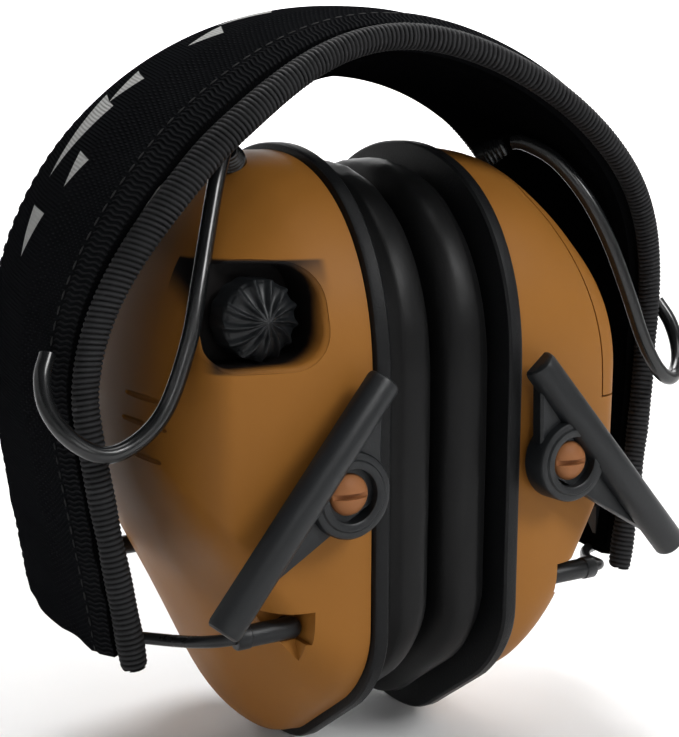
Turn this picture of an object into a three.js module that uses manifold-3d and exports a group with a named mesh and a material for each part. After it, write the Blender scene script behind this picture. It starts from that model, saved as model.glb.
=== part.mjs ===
// Folding electronic ear defenders, shown folded: a padded band over two ear cups.
// Millimetres, +Z up. The wearer looks along -Y, so the wearer's right is -X.
// The origin is the middle of the headband's inner face, where the head touches it.
import * as THREE from 'three';
import { mergeVertices } from 'three/addons/utils/BufferGeometryUtils.js';
import Module from 'manifold-3d';

const wasm = await Module();
wasm.setup();

// ---- driving dimensions --------------------------------------------------------------
const GAP = 0.3;                 // clearance between pieces that touch

const BAND = {
  halfWidth: 62.8,                 // widest half width of the seam line
  shoulderZ: 7,                  // height of the widest point
  rise: 58,                      // seam line's rise from there to the crown
  endX: 55.8,                    // seam line at the band's lower end
  endZ: -44,                     // front corner of the lower end
  hemRise: 5,                    // how much higher the rear corner is
  endWiden: 0.13,                // extra width along Y at the lower end, as a share
  endThin: 0.45,                 // how much thinner the inner pad is at the lower end, as a share
  crownForward: 4.5,             // how far the front edge stands out at the crown
  shoulderForward: 9.8,          // and at the shoulders
  shoulderDroop: 3,              // how far the front edge hangs inward at the shoulders
  padHalfWidth: 17.9,            // fabric between the two pipings, along Y
  outerHeight: 6.3,              // outer pad above the seam line
  innerHeight: 6.6,              // inner pad below the seam line
  pipingY: 20,
  pipingRadius: 2.3,
  crownHalf: 12,                 // half length of the fixed crown segment
  stripHalfWidth: 9,
  stripEndZ: 14,
};

// The band's inner face above the cup datum, at the crown.
const CROWN_Z = BAND.shoulderZ + BAND.rise - BAND.innerHeight;

const WIRE = { radius: 1.1, legX: 59, legY: 13.6, topZ: 8, runZ: -41.6, clearance: 0.5 };
const PIVOT = { x: 29.6, z: -39.2 };     // cup tilt axis, along Y
const SOCKET_Y = 31.4;                 // middle of the wire sleeve in front of the cup's centre

const CUP = { rimX: 16.3, wall: 2, datumZ: -4, domeX: 49.4 };
const PLATE = { x0: 12.8, x1: 16, grow: 1.028 };
const EAR = { halfY: 19, top: 22, bottom: -44 };
const KNOB = { x: 34, z: 16.4, radius: 7.2, back: -24.5, flutes: 13 };
const MIC = { x: 24.2, y: -41.6, z: -12.8, ring: 7.8, recess: 4.8, dome: 3.7 };
const BAR = { top: [16.6, -44, 6.4], bottom: [49.4, -46, -32.6], width: 6.4, depth: 3.6 };
const CELL = { radius: 5.25, length: 44.5 };

// ---- colours and finishes --------------------------------------------------------------
const finish = (color, roughness, metalness = 0) =>
  new THREE.MeshStandardMaterial({ color, roughness, metalness });
const TAN = finish(0x9d6d3a, 0.55);
const BLACK_PLASTIC = finish(0x1c1d1f, 0.5);
const BLACK_VINYL = finish(0x151616, 0.42);
const BLACK_FABRIC = finish(0x121214, 0.95);
const PIPING_FABRIC = finish(0x18181a, 0.9);
const STEEL = finish(0x9a9ea3, 0.35, 0.9);
const BLACK_WIRE = finish(0x101112, 0.3, 0.6);
const CABLE_BLACK = finish(0x111213, 0.4);
const FOAM_GREY = finish(0x2a2b2d, 1);
const BOARD_GREEN = finish(0x1f4a33, 0.6);
const CELL_GREY = finish(0x8b9096, 0.4, 0.5);

// ---- solids ------------------------------------------------------------------------------
const V = (x, y, z) => new THREE.Vector3(x, y, z);

function toSolid(geometry) {
  const bare = geometry.clone();
  bare.deleteAttribute('normal');
  bare.deleteAttribute('uv');
  const merged = mergeVertices(bare, 1e-4);
  return new wasm.Manifold(new wasm.Mesh({
    numProp: 3,
    vertProperties: new Float32Array(merged.attributes.position.array),
    triVerts: new Uint32Array(merged.index.array),
  }));
}

function toGeometry(solid) {
  const mesh = solid.getMesh();
  const geometry = new THREE.BufferGeometry();
  geometry.setAttribute('position', new THREE.BufferAttribute(mesh.vertProperties, 3));
  geometry.setIndex(new THREE.BufferAttribute(mesh.triVerts, 1));
  geometry.computeVertexNormals();
  return geometry;
}

const join = (...parts) => toGeometry(parts.map(toSolid).reduce((a, b) => a.add(b)));
const cut = (body, ...tools) => toGeometry(tools.map(toSolid).reduce((a, b) => a.subtract(b), toSolid(body)));
const common = (a, b) => toGeometry(toSolid(a).intersect(toSolid(b)));

function mirrorX(geometry) {
  const copy = geometry.clone();
  copy.scale(-1, 1, 1);
  const index = copy.index ?? new THREE.BufferAttribute(
    Uint32Array.from({ length: copy.attributes.position.count }, (_, i) => i), 1);
  const flipped = index.array.slice();
  for (let i = 0; i < flipped.length; i += 3) {
    [flipped[i], flipped[i + 1]] = [flipped[i + 1], flipped[i]];
  }
  copy.setIndex(new THREE.BufferAttribute(flipped, 1));
  return copy;
}

// A closed skin over rings of points that all have the same count, with a fan at each end.
function loft(rings) {
  const count = rings[0].length;
  const points = rings.flat();
  const index = [];
  for (let i = 0; i < rings.length - 1; i++) {
    for (let j = 0; j < count; j++) {
      const a = i * count + j;
      const b = i * count + (j + 1) % count;
      index.push(a, b, b + count, a, b + count, a + count);
    }
  }
  for (const [ring, flip] of [[0, true], [rings.length - 1, false]]) {
    const centre = rings[ring].reduce((sum, p) => sum.add(p), V(0, 0, 0)).divideScalar(count);
    points.push(centre);
    for (let j = 0; j < count; j++) {
      const a = ring * count + j;
      const b = ring * count + (j + 1) % count;
      index.push(...(flip ? [b, a, points.length - 1] : [a, b, points.length - 1]));
    }
  }
  const geometry = new THREE.BufferGeometry().setFromPoints(points);
  geometry.setIndex(index);
  return signedVolume(geometry) < 0 ? mirrorWinding(geometry) : geometry;
}

function signedVolume(geometry) {
  const p = geometry.attributes.position;
  const corner = (i) => V(0, 0, 0).fromBufferAttribute(p, geometry.index.getX(i));
  let volume = 0;
  for (let i = 0; i < geometry.index.count; i += 3) {
    volume += corner(i).dot(corner(i + 1).cross(corner(i + 2)));
  }
  return volume;
}

function mirrorWinding(geometry) {
  const index = Array.from(geometry.index.array);
  for (let i = 0; i < index.length; i += 3) {
    [index[i], index[i + 1]] = [index[i + 1], index[i]];
  }
  geometry.setIndex(index);
  return geometry;
}

function box(x0, x1, y0, y1, z0, z1) {
  const geometry = new THREE.BoxGeometry(x1 - x0, y1 - y0, z1 - z0);
  geometry.translate((x0 + x1) / 2, (y0 + y1) / 2, (z0 + z1) / 2);
  return geometry;
}

// A cylinder or cone between two points.
function rod(from, to, radius, endRadius = radius, sides = 20) {
  const axis = to.clone().sub(from);
  const geometry = new THREE.CylinderGeometry(endRadius, radius, axis.length(), sides);
  geometry.applyQuaternion(new THREE.Quaternion().setFromUnitVectors(V(0, 1, 0), axis.clone().normalize()));
  const middle = from.clone().add(to).multiplyScalar(0.5);
  geometry.translate(middle.x, middle.y, middle.z);
  return geometry;
}

// A flat outline in the Y-Z plane, given as a Shape in (y, z), made into a plate along X.
function plateAlongX(shape, x0, x1, curveSegments = 8) {
  const geometry = new THREE.ExtrudeGeometry(shape, { depth: x1 - x0, bevelEnabled: false, curveSegments });
  geometry.applyMatrix4(new THREE.Matrix4().makeBasis(V(0, 1, 0), V(0, 0, 1), V(1, 0, 0)));
  geometry.translate(x0, 0, 0);
  return geometry;
}

// A flat outline in the X-Z plane, given as a Shape in (x, z), made into a plate along Y.
function plateAlongY(shape, y0, y1, curveSegments = 8) {
  const geometry = new THREE.ExtrudeGeometry(shape, { depth: y1 - y0, bevelEnabled: false, curveSegments });
  geometry.applyMatrix4(new THREE.Matrix4().makeBasis(V(1, 0, 0), V(0, 0, 1), V(0, -1, 0)));
  geometry.translate(0, y1, 0);
  return geometry;
}

function tube(points, radius, steps, sides = 8, tension = 0.5) {
  const section = new THREE.Shape();
  for (let i = 0; i < sides; i++) {
    const angle = (2 * Math.PI * i) / sides;
    const corner = [radius * Math.cos(angle), radius * Math.sin(angle)];
    if (i === 0) section.moveTo(...corner);
    else section.lineTo(...corner);
  }
  section.closePath();
  const extrudePath = new THREE.CatmullRomCurve3(points, false, 'catmullrom', tension);
  return new THREE.ExtrudeGeometry(section, { steps, extrudePath, bevelEnabled: false });
}

// ---- headband ------------------------------------------------------------------------------
// The seam line on the +X side, from the crown (t = 0) to the band's lower end (t = 1).
const ARC_SHARE = 0.62;
const lowerRun = new THREE.CubicBezierCurve(
  new THREE.Vector2(BAND.halfWidth, BAND.shoulderZ),
  new THREE.Vector2(BAND.halfWidth, BAND.shoulderZ - 11),
  new THREE.Vector2(BAND.endX + 2.6, BAND.endZ + 18.5),
  new THREE.Vector2(BAND.endX, BAND.endZ));

function seamPoint(t) {
  if (t <= ARC_SHARE) {
    const angle = (t / ARC_SHARE) * Math.PI / 2;
    return new THREE.Vector2(BAND.halfWidth * Math.sin(angle), BAND.shoulderZ + BAND.rise * Math.cos(angle));
  }
  return lowerRun.getPoint((t - ARC_SHARE) / (1 - ARC_SHARE));
}

function seamFrame(t) {
  const step = 1e-3;
  const ahead = seamPoint(Math.min(1, t + step));
  const behind = seamPoint(Math.max(0, t - step));
  const along = ahead.sub(behind).normalize();
  return { point: seamPoint(t), outward: new THREE.Vector2(-along.y, along.x) };
}

function bandRing(t, section, endThin) {
  const { point, outward } = seamFrame(t);
  const low = THREE.MathUtils.smoothstep(t, 0.5, 1);
  const shoulder = THREE.MathUtils.smoothstep(t, 0, 0.28);
  const upper = 1 - THREE.MathUtils.smoothstep(t, 0.34, 0.68);
  const forward = THREE.MathUtils.lerp(BAND.crownForward, BAND.shoulderForward, shoulder) * upper;
  return section.map(([y, h]) => {
    const front = Math.max(0, -y / BAND.pipingY);
    const height = h * (1 - endThin * low) - BAND.shoulderDroop * shoulder * upper * front ** 2;
    const across = y * (1 + BAND.endWiden * low) - forward * front;
    return V(point.x + outward.x * height, across, point.y + outward.y * height);
  });
}

const crownT = ARC_SHARE * Math.asin(BAND.crownHalf / BAND.halfWidth) / (Math.PI / 2);
const jointT = ARC_SHARE * Math.asin((BAND.crownHalf + GAP) / BAND.halfWidth) / (Math.PI / 2);

function stations(from, to, count) {
  return Array.from({ length: count + 1 }, (_, i) => from + ((to - from) * i) / count);
}

function seamTAtHeight(z) {
  let low = 0;
  let high = 1;
  for (let i = 0; i < 40; i++) {
    const middle = (low + high) / 2;
    if (seamPoint(middle).y > z) low = middle;
    else high = middle;
  }
  return low;
}

function halfSweep(section, endT = 1, count = 14, endThin = 0) {
  return loft(stations(jointT, endT, count).map((t) => bandRing(t, section, endThin)));
}

function crownSweep(section) {
  const right = stations(crownT, 0, 2).map((t) => bandRing(t, section, 0));
  const left = right.slice(0, -1).reverse().map((ring) => ring.map((p) => V(-p.x, p.y, p.z)));
  return loft([...right, ...left]);
}

// Sections are lists of [y, height outward from the seam line].
function crownedSection(base, height, halfWidth) {
  const rim = [1, 0.93, 0.66, 0.28, -0.28, -0.66, -0.93, -1];
  const rise = [0.3, 0.56, 0.88, 1, 1, 0.88, 0.56, 0.3];
  const top = rim.map((share, i) => [share * halfWidth, base + (height - base) * rise[i]]);
  return [...top, [-halfWidth, base], [-halfWidth / 2, base], [halfWidth, base]];
}

const outerPadSection = crownedSection(0.9, BAND.outerHeight, BAND.padHalfWidth);
const innerPadSection = crownedSection(-1.1, -BAND.innerHeight, BAND.padHalfWidth);
const stripSection = [
  [BAND.stripHalfWidth, 0.5], [-BAND.stripHalfWidth, 0.5],
  [-BAND.stripHalfWidth, -0.7], [BAND.stripHalfWidth, -0.7]];

function pipingSection(side) {
  return Array.from({ length: 8 }, (_, i) => {
    const angle = (Math.PI / 4) * i;
    return [side * BAND.pipingY + BAND.pipingRadius * Math.cos(angle) * 0.8, BAND.pipingRadius * Math.sin(angle)];
  });
}

// The space that the sliding wire needs inside one band half, with a notch where each leg turns out.
function wireChannel() {
  const reach = WIRE.radius + WIRE.clearance;
  const { legX, legY, topZ, runZ } = WIRE;
  const slot = box(legX - reach, legX + reach, -legY - reach, legY + reach, -60, topZ + reach);
  const frontNotch = box(44, legX - reach + 0.4, -legY - 6.4, -legY + reach, -60, runZ + 2.4);
  const rearNotch = box(44, legX - reach + 0.4, legY - reach, legY + 6.4, -60, runZ + 2.4);
  return join(slot, frontNotch, rearNotch);
}

// Everything below the band's slanted hem.
function belowHem() {
  const y = BAND.pipingY;
  const slope = BAND.hemRise / (2 * y);
  const ring = (x) => [
    V(x, -2 * y, -80), V(x, 2 * y, -80),
    V(x, 2 * y, BAND.endZ + 3 * y * slope), V(x, -2 * y, BAND.endZ - y * slope)];
  return loft([ring(40), ring(80)]);
}

// The hole in the cover where the cable goes in.
const cableHole = () => rod(V(66.4, -15.4, 15), V(71.6, -19.4, 3), 2.3, 2.3, 12);

function guideBlock(grow) {
  const y = BAND.padHalfWidth - 1 + grow;
  const z = BAND.endZ + BAND.hemRise;
  return box(WIRE.legX - 5.1 - grow, WIRE.legX + 0.9 + grow, -y, y, z + 1 - grow, z + 7 + grow);
}

function bandHalfPieces() {
  const channel = wireChannel();
  const guideSpace = guideBlock(GAP);
  const rearEndT = seamTAtHeight(BAND.endZ + BAND.hemRise);
  const reach = WIRE.legY + WIRE.radius + WIRE.clearance;
  const lining = box(44, WIRE.legX, -reach, reach, -60, BAND.endZ + 40);
  return {
    outer_pad: [
      cut(halfSweep(outerPadSection), channel, lining, guideSpace, cableHole(), belowHem()), BLACK_FABRIC],
    inner_pad: [cut(halfSweep(innerPadSection, 1, 14, BAND.endThin), channel, guideSpace, belowHem()), BLACK_FABRIC],
    spring_strip: [halfSweep(stripSection, seamTAtHeight(BAND.stripEndZ), 9), STEEL],
    front_piping: [halfSweep(pipingSection(-1), 1, 16), PIPING_FABRIC],
    rear_piping: [halfSweep(pipingSection(1), rearEndT, 16), PIPING_FABRIC],
    end_guide: [cut(guideBlock(0), channel), BLACK_PLASTIC],
  };
}

function crownPieces() {
  return {
    outer_pad: [crownSweep(outerPadSection), BLACK_FABRIC],
    inner_pad: [crownSweep(innerPadSection), BLACK_FABRIC],
    spring_strip: [crownSweep(stripSection), STEEL],
    front_piping: [crownSweep(pipingSection(-1)), PIPING_FABRIC],
    rear_piping: [crownSweep(pipingSection(1)), PIPING_FABRIC],
  };
}

// ---- yoke wire and sleeves ------------------------------------------------------------------
// One bent wire: across the top inside the band, down both legs, then out to the two sleeves.
function yokeWire() {
  const { legX, legY, topZ, runZ } = WIRE;
  const front = [
    V(legX, -legY + 4, topZ), V(legX, -legY, topZ - 4), V(legX, -legY, -16), V(legX, -legY, runZ + 5),
    V(legX - 2, -legY - 0.6, runZ + 0.6), V(legX - 7, -legY - 2.6, runZ), V(legX - 11, -legY - 7.4, runZ + 0.2),
    V(legX - 13.6, -SOCKET_Y + 4.8, runZ + 1.2), V(PIVOT.x + 13, -SOCKET_Y + 0.4, PIVOT.z - 0.1),
    V(PIVOT.x + 9, -SOCKET_Y, PIVOT.z), V(PIVOT.x + 5, -SOCKET_Y, PIVOT.z)];
  const rear = front.map((p) => V(p.x, -p.y, p.z)).reverse();
  return tube([...rear, ...front], WIRE.radius, 52, 6);
}

// The wire's end piece: a bar with a bore for the wire and a pin into the cup.
function wireSleeve(side) {
  const y = side * SOCKET_Y;
  const bar = box(PIVOT.x - 2, PIVOT.x + 11, y - 2, y + 2, PIVOT.z - 2, PIVOT.z + 2);
  const bore = rod(V(PIVOT.x + 4.5, y, PIVOT.z), V(PIVOT.x + 12, y, PIVOT.z), 1.5, 1.5, 12);
  const pin = rod(V(PIVOT.x, y - side * 1.5, PIVOT.z), V(PIVOT.x, y - side * 8, PIVOT.z), 1.6, 1.6, 12);
  return cut(join(bar, pin), bore);
}

// ---- ear cup ----------------------------------------------------------------------------------
// Half of the cup's outline in (y, z): a round top, a straight edge and a pointed foot.
function cupOutline() {
  const shape = new THREE.Shape();
  shape.moveTo(0, 44.5);
  shape.bezierCurveTo(22, 44.5, 38, 30, 38, 5);
  shape.lineTo(37.6, -41);
  shape.quadraticCurveTo(37.2, -48.5, 29, -56);
  shape.lineTo(13, -67.6);
  shape.quadraticCurveTo(8, -71, 0, -71);
  shape.quadraticCurveTo(-8, -71, -13, -67.6);
  shape.lineTo(-29, -56);
  shape.quadraticCurveTo(-37.2, -48.5, -37.6, -41);
  shape.lineTo(-38, 5);
  shape.bezierCurveTo(-38, 30, -22, 44.5, 0, 44.5);
  return shape;
}

const OUTLINE = cupOutline().getSpacedPoints(34).slice(0, -1);

function cupRing(x, wide, up, down) {
  return OUTLINE.map((p) => V(
    x, p.x * wide, CUP.datumZ + (p.y - CUP.datumZ) * (p.y > CUP.datumZ ? up : down)));
}

// How the outline shrinks from the rim to the outer face: [x, width, height above, height below].
const CUP_PROFILE = [
  [16.3, 1, 1, 1],
  [22, 0.992, 0.995, 0.98],
  [28, 0.972, 0.96, 0.88],
  [34.5, 0.945, 0.86, 0.665],
  [39, 0.92, 0.76, 0.5],
  [42.4, 0.885, 0.665, 0.4],
  [44.8, 0.79, 0.55, 0.31],
  [47.2, 0.6, 0.4, 0.2],
  [48.8, 0.36, 0.22, 0.11],
  [49.4, 0.12, 0.08, 0.04]];

function cupBody() {
  return loft(CUP_PROFILE.map(([x, ...scales]) => cupRing(x, ...scales)));
}

function cupCavity() {
  const depth = (CUP.domeX - CUP.rimX - CUP.wall) / (CUP.domeX - CUP.rimX);
  const shrink = 1 - CUP.wall / 38;
  const rings = CUP_PROFILE.map(([x, ...scales]) => cupRing(
    CUP.rimX + (x - CUP.rimX) * depth, ...scales.map((scale) => scale * shrink)));
  return loft([cupRing(CUP.rimX - 2, shrink, shrink, shrink), ...rings]);
}

// The slot that the sleeve sits in, with room above it for the cup's tilt.
function wirePocket(side, grow) {
  const mouth = side * 45;
  const floor = side * (SOCKET_Y - 2 - GAP - grow);
  const [y0, y1] = [Math.min(mouth, floor), Math.max(mouth, floor)];
  return box(PIVOT.x - 2.4 - grow, PIVOT.x + 34, y0, y1, PIVOT.z - 2.4 - grow, PIVOT.z + 4 + grow);
}

// The facet below the slot, deep at the slot and running out towards the cup's foot.
function facetRecess(side, grow) {
  const ring = (z, depth) => [
    V(PIVOT.x - 1.4 - grow, side * 46, z), V(PIVOT.x + 34, side * 46, z),
    V(PIVOT.x + 34, side * depth, z), V(PIVOT.x - 1.4 - grow, side * depth, z)];
  return loft([ring(PIVOT.z, SOCKET_Y - 1 - grow), ring(PIVOT.z - 19 - grow, 36.5 - grow)]);
}

function pinHole(side) {
  return rod(V(PIVOT.x, side * 20, PIVOT.z), V(PIVOT.x, side * 40, PIVOT.z), 1.95, 1.95, 12);
}

function knobPocket(grow) {
  const outline = new THREE.Shape();
  const [x0, x1, z0, z1] = [23.6 - grow, 64, 8.6 - grow, 27.6 + grow];
  const r = 6.5;
  outline.moveTo(x1, z0);
  outline.lineTo(x1, z1);
  outline.lineTo(x0 + r, z1);
  outline.quadraticCurveTo(x0, z1, x0, z1 - r);
  outline.lineTo(x0, z0 + r);
  outline.quadraticCurveTo(x0, z0, x0 + r, z0);
  outline.closePath();
  return plateAlongY(outline, -60, KNOB.back + 2 + grow, 4);
}

function shaftHole() {
  return rod(V(KNOB.x, -30, KNOB.z), V(KNOB.x, -10, KNOB.z), 1.9, 1.9, 12);
}

// Door seam in (x, z): the door is everything outside it.
function doorOutline(offset) {
  const shape = new THREE.Shape();
  shape.moveTo(38.6 + offset, -3.6 + offset);
  shape.quadraticCurveTo(38.2 + offset, 20, 28.2 + offset, 35.4);
  shape.lineTo(26.5 + offset, 60);
  shape.lineTo(70, 60);
  shape.lineTo(70, -3.6 + offset);
  shape.closePath();
  return shape;
}

const doorCutter = (offset) => plateAlongY(doorOutline(offset), -60, 60, 6);

function cupShell(kind) {
  const ends = [-1, 1];
  const fill = ends.flatMap((end) => [wirePocket(end, CUP.wall), facetRecess(end, CUP.wall)]);
  const holes = ends.flatMap((end) => [wirePocket(end, 0), facetRecess(end, 0), pinHole(end)]);
  holes.push(stemHole(), reliefHole());
  if (kind === 'knob') {
    fill.push(knobPocket(CUP.wall));
    holes.push(knobPocket(0), shaftHole(), jackHole());
  } else {
    holes.push(doorCutter(0));
  }
  return cut(cupBody(), cut(cupCavity(), ...fill), ...holes);
}

function batteryDoor() {
  const skin = cut(cupBody(), cupCavity());
  // The hole is drawn out toward the seam, so that the door swings clear of the cable relief.
  return cut(common(skin, doorCutter(GAP + 0.1)), doorHole(0), doorHole(3.4));
}

function stemHole() {
  return rod(V(MIC.x, -20, MIC.z), V(MIC.x, -60, MIC.z), 3.3, 3.3, 16);
}

function earOpening(grow) {
  const shape = new THREE.Shape();
  const middle = (EAR.top + EAR.bottom) / 2;
  const half = (EAR.top - EAR.bottom) / 2;
  shape.absellipse(0, middle, EAR.halfY + grow, half + grow, 0, 2 * Math.PI);
  return shape;
}

function rimPlate() {
  const outline = new THREE.Shape(OUTLINE.map((p) => new THREE.Vector2(p.x * PLATE.grow, -4 + (p.y + 4) * PLATE.grow)));
  outline.holes.push(new THREE.Path(earOpening(3).getPoints(16)));
  return plateAlongX(outline, PLATE.x0, PLATE.x1);
}

// Below the tilt axis the soft face leans back, so that the two cushions clear each other as a cup tilts.
function leanFoot(p) {
  const below = Math.max(0, PIVOT.z - p.z);
  return p.x < 6 ? V(p.x + below * 0.06, p.y, p.z) : p;
}

function earCushion() {
  const profile = [[0.3, 0.8], [1.4, 0.885], [4, 0.945], [8, 0.955], [11, 0.93], [12.5, 0.88]];
  const body = loft(profile.map(([x, scale]) => cupRing(x, scale, scale, scale).map(leanFoot)));
  return cut(body, plateAlongX(earOpening(0), -5, 20, 14));
}

function foamLiner() {
  const shape = new THREE.Shape(OUTLINE.map((p) => new THREE.Vector2(p.x * 0.84, -4 + (p.y + 4) * 0.84)));
  return plateAlongX(shape, 18.4, 21.2);
}

function speaker() {
  const cone = rod(V(21.8, 0, -10), V(24.4, 0, -10), 16, 16, 24);
  const magnet = rod(V(24.3, 0, -10), V(28.4, 0, -10), 9, 9, 20);
  return join(cone, magnet);
}

const circuitBoard = () => box(28.8, 30.3, -9, 22, -26, 22);

// ---- microphone wind guard ----------------------------------------------------------------------
function guardBar() {
  const section = new THREE.Shape();
  section.moveTo(-BAR.width / 2, 0);
  section.lineTo(BAR.width / 2, 0);
  section.bezierCurveTo(BAR.width / 2, -BAR.depth * 1.3, -BAR.width / 2, -BAR.depth * 1.3, -BAR.width / 2, 0);
  const from = V(...BAR.top);
  const to = V(...BAR.bottom);
  const along = to.clone().sub(from).normalize();
  const across = V(0, 1, 0).cross(along).normalize();
  const facing = along.clone().cross(across).normalize();
  const geometry = new THREE.ExtrudeGeometry(section, {
    depth: from.distanceTo(to), bevelEnabled: false, curveSegments: 6 });
  geometry.applyMatrix4(new THREE.Matrix4().makeBasis(across, facing, along).setPosition(from.x, from.y + 2.2, from.z));
  return geometry;
}

function guardWeb() {
  const shape = new THREE.Shape();
  shape.moveTo(BAR.top[0] + 0.5, BAR.top[2] - 1);
  shape.lineTo(BAR.bottom[0] - 1, BAR.bottom[2] + 0.5);
  shape.lineTo(MIC.x + 3, MIC.z - MIC.ring + 1.2);
  shape.lineTo(MIC.x - MIC.ring + 1.2, MIC.z - 1);
  shape.closePath();
  return plateAlongY(shape, MIC.y - 1.4, MIC.y + 1.4);
}

function micGuard() {
  const front = MIC.y - 3.2;
  const ring = rod(V(MIC.x, MIC.y + 2.4, MIC.z), V(MIC.x, front, MIC.z), MIC.ring, MIC.ring - 0.5, 28);
  const stem = rod(V(MIC.x, MIC.y + 2.2, MIC.z), V(MIC.x, -33, MIC.z), 2.9, 2.9, 16);
  const recess = rod(V(MIC.x, front - 1, MIC.z), V(MIC.x, front + 3, MIC.z), MIC.recess, MIC.recess, 24);
  const bore = rod(V(MIC.x, front, MIC.z), V(MIC.x, -20, MIC.z), 2.1, 2.1, 12);
  return cut(join(guardBar(), guardWeb(), ring, stem), recess, bore);
}

// The small slotted cap over the microphone.
function micCap() {
  const base = MIC.y - 3.2 + 3 - GAP;
  const dome = new THREE.LatheGeometry([
    new THREE.Vector2(0, 0), new THREE.Vector2(MIC.dome, 0), new THREE.Vector2(MIC.dome, 0.9),
    new THREE.Vector2(MIC.dome * 0.82, 1.7), new THREE.Vector2(MIC.dome * 0.45, 2.3), new THREE.Vector2(0, 2.5)], 20);
  dome.rotateX(Math.PI);
  dome.translate(MIC.x, base, MIC.z);
  const slot = box(MIC.x - 6, MIC.x + 6, base - 4, base - 1.3, MIC.z - 0.5, MIC.z + 0.5);
  return cut(dome, slot);
}

const micCapsule = () => rod(V(MIC.x, MIC.y + 1, MIC.z), V(MIC.x, MIC.y + 5, MIC.z), 1.8, 1.8, 12);

// ---- volume control, jack and battery ----------------------------------------------------------------
function volumeKnob() {
  const head = new THREE.LatheGeometry([
    new THREE.Vector2(0, 0), new THREE.Vector2(KNOB.radius, 0), new THREE.Vector2(KNOB.radius, 5.2),
    new THREE.Vector2(KNOB.radius * 0.86, 7.2), new THREE.Vector2(KNOB.radius * 0.5, 8.1),
    new THREE.Vector2(0, 8.4)], 39);
  head.rotateX(Math.PI);
  head.translate(KNOB.x, KNOB.back, KNOB.z);
  const shaft = rod(V(KNOB.x, KNOB.back - 1, KNOB.z), V(KNOB.x, -13, KNOB.z), 1.5, 1.5, 12);
  const flutes = Array.from({ length: KNOB.flutes }, (_, i) => {
    const angle = (2 * Math.PI * i) / KNOB.flutes;
    const at = (r) => V(KNOB.x + r * Math.cos(angle), KNOB.back - 3, KNOB.z + r * Math.sin(angle));
    const edge = at(KNOB.radius + 0.25);
    return rod(V(edge.x, KNOB.back - 12, edge.z), V(edge.x, KNOB.back - 1, edge.z), 0.8, 0.8, 6);
  });
  return cut(join(head, shaft), ...flutes);
}

function potentiometer() {
  const body = box(KNOB.x - 5, KNOB.x + 5, -19.8, -12.2, KNOB.z - 5, KNOB.z + 5);
  return cut(body, rod(V(KNOB.x, -21, KNOB.z), V(KNOB.x, -12.7, KNOB.z), 1.9, 1.9, 12));
}

const JACK = { x: 28, z: 16, y: 39.4 };
const jackHole = () => rod(V(JACK.x, 20, JACK.z), V(JACK.x, 60, JACK.z), 3.5, 3.5, 20);

function auxJack() {
  const barrel = rod(V(JACK.x, 24, JACK.z), V(JACK.x, JACK.y, JACK.z), 3.2, 3.2, 20);
  return cut(barrel, rod(V(JACK.x, 26, JACK.z), V(JACK.x, JACK.y + 1, JACK.z), 1.8, 1.8, 12));
}

const CELL_X = 37.5;
const CELL_MIDDLE_Z = -1;
const cellY = (row) => (row - 0.5) * (2 * CELL.radius + 1.2);

function batteryCell(row) {
  const z0 = CELL_MIDDLE_Z - CELL.length / 2;
  const can = rod(V(CELL_X, cellY(row), z0), V(CELL_X, cellY(row), z0 + CELL.length - 0.8), CELL.radius, CELL.radius, 20);
  const nub = rod(V(CELL_X, cellY(row), z0 + 40), V(CELL_X, cellY(row), z0 + CELL.length), 1.9, 1.9, 12);
  return join(can, nub);
}

function batteryTray() {
  const reach = 2 * CELL.radius + 2.6;
  const [z0, z1] = [CELL_MIDDLE_Z - CELL.length / 2 - 3, CELL_MIDDLE_Z + CELL.length / 2 + 3];
  const body = box(31, 38.6, -reach, reach, z0, z1);
  return cut(body, box(31.9, 60, -reach + 1.2, reach - 1.2, z0 + 1.6, z1 - 1.6));
}

function contactPlate(end) {
  const z = CELL_MIDDLE_Z + end * (CELL.length / 2 + 0.9);
  return box(33.4, 40.4, -9.5, 9.5, z - 0.3, z + 0.3);
}

// ---- cable ------------------------------------------------------------------------------------------
const RELIEF = { foot: V(28, -8, 42.4), tip: V(31.2, -12.4, 44.8) };

const cableRelief = () => rod(RELIEF.foot, RELIEF.tip, 2.9, 1.9, 16);
const reliefHole = () => rod(RELIEF.foot, RELIEF.tip, 3.3, 3.3, 16);

// The door's own hole is longer than the relief at both ends.
function doorHole(inward) {
  const beyond = RELIEF.tip.clone().sub(RELIEF.foot);
  const shift = V(-inward, 0, 0);
  return rod(RELIEF.foot.clone().sub(beyond).add(shift), RELIEF.tip.clone().add(beyond).add(shift), 4.4, 4.4, 16);
}

// From the strain relief on the cup, round the band's front edge, into its outer cover.
const CABLE_ROUTES = {
  right: [
    [32.1, -13.4, 45.5], [33.2, -15, 44.8], [36.2, -18, 39.6], [39.4, -21, 31.6], [43, -24.8, 23],
    [46.6, -27.6, 13], [51.6, -28.8, 2.4], [57.6, -29.6, -2.6], [63.4, -29.6, -3.8], [68, -27.2, -1],
    [70.2, -23.4, 3.4], [69.8, -20, 8], [68, -18, 11.6]],
  left: [
    [32.1, -13.4, 45.5], [33.4, -15.4, 45.4], [37, -20.6, 42.2], [41.4, -24.8, 35.4], [45.6, -27.6, 26.4],
    [49.4, -29.4, 16], [53, -30.4, 6.4], [57, -30.6, 0], [61.4, -29.8, -2.6], [65.6, -27.4, -0.8],
    [68.6, -24, 3], [69.4, -20.6, 7.6], [68, -18, 11.6]],
};

const cupCable = (side) => tube(CABLE_ROUTES[side].map((p) => V(...p)), 1.5, 30, 6);

// ---- assembly -------------------------------------------------------------------------------------
const product = new THREE.Group();
const SIDES = { right: (geometry) => mirrorX(geometry), left: (geometry) => geometry };

function add(parent, name, geometry, material) {
  const mesh = new THREE.Mesh(geometry, material);
  mesh.name = name;
  parent.add(mesh);
}

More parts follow.
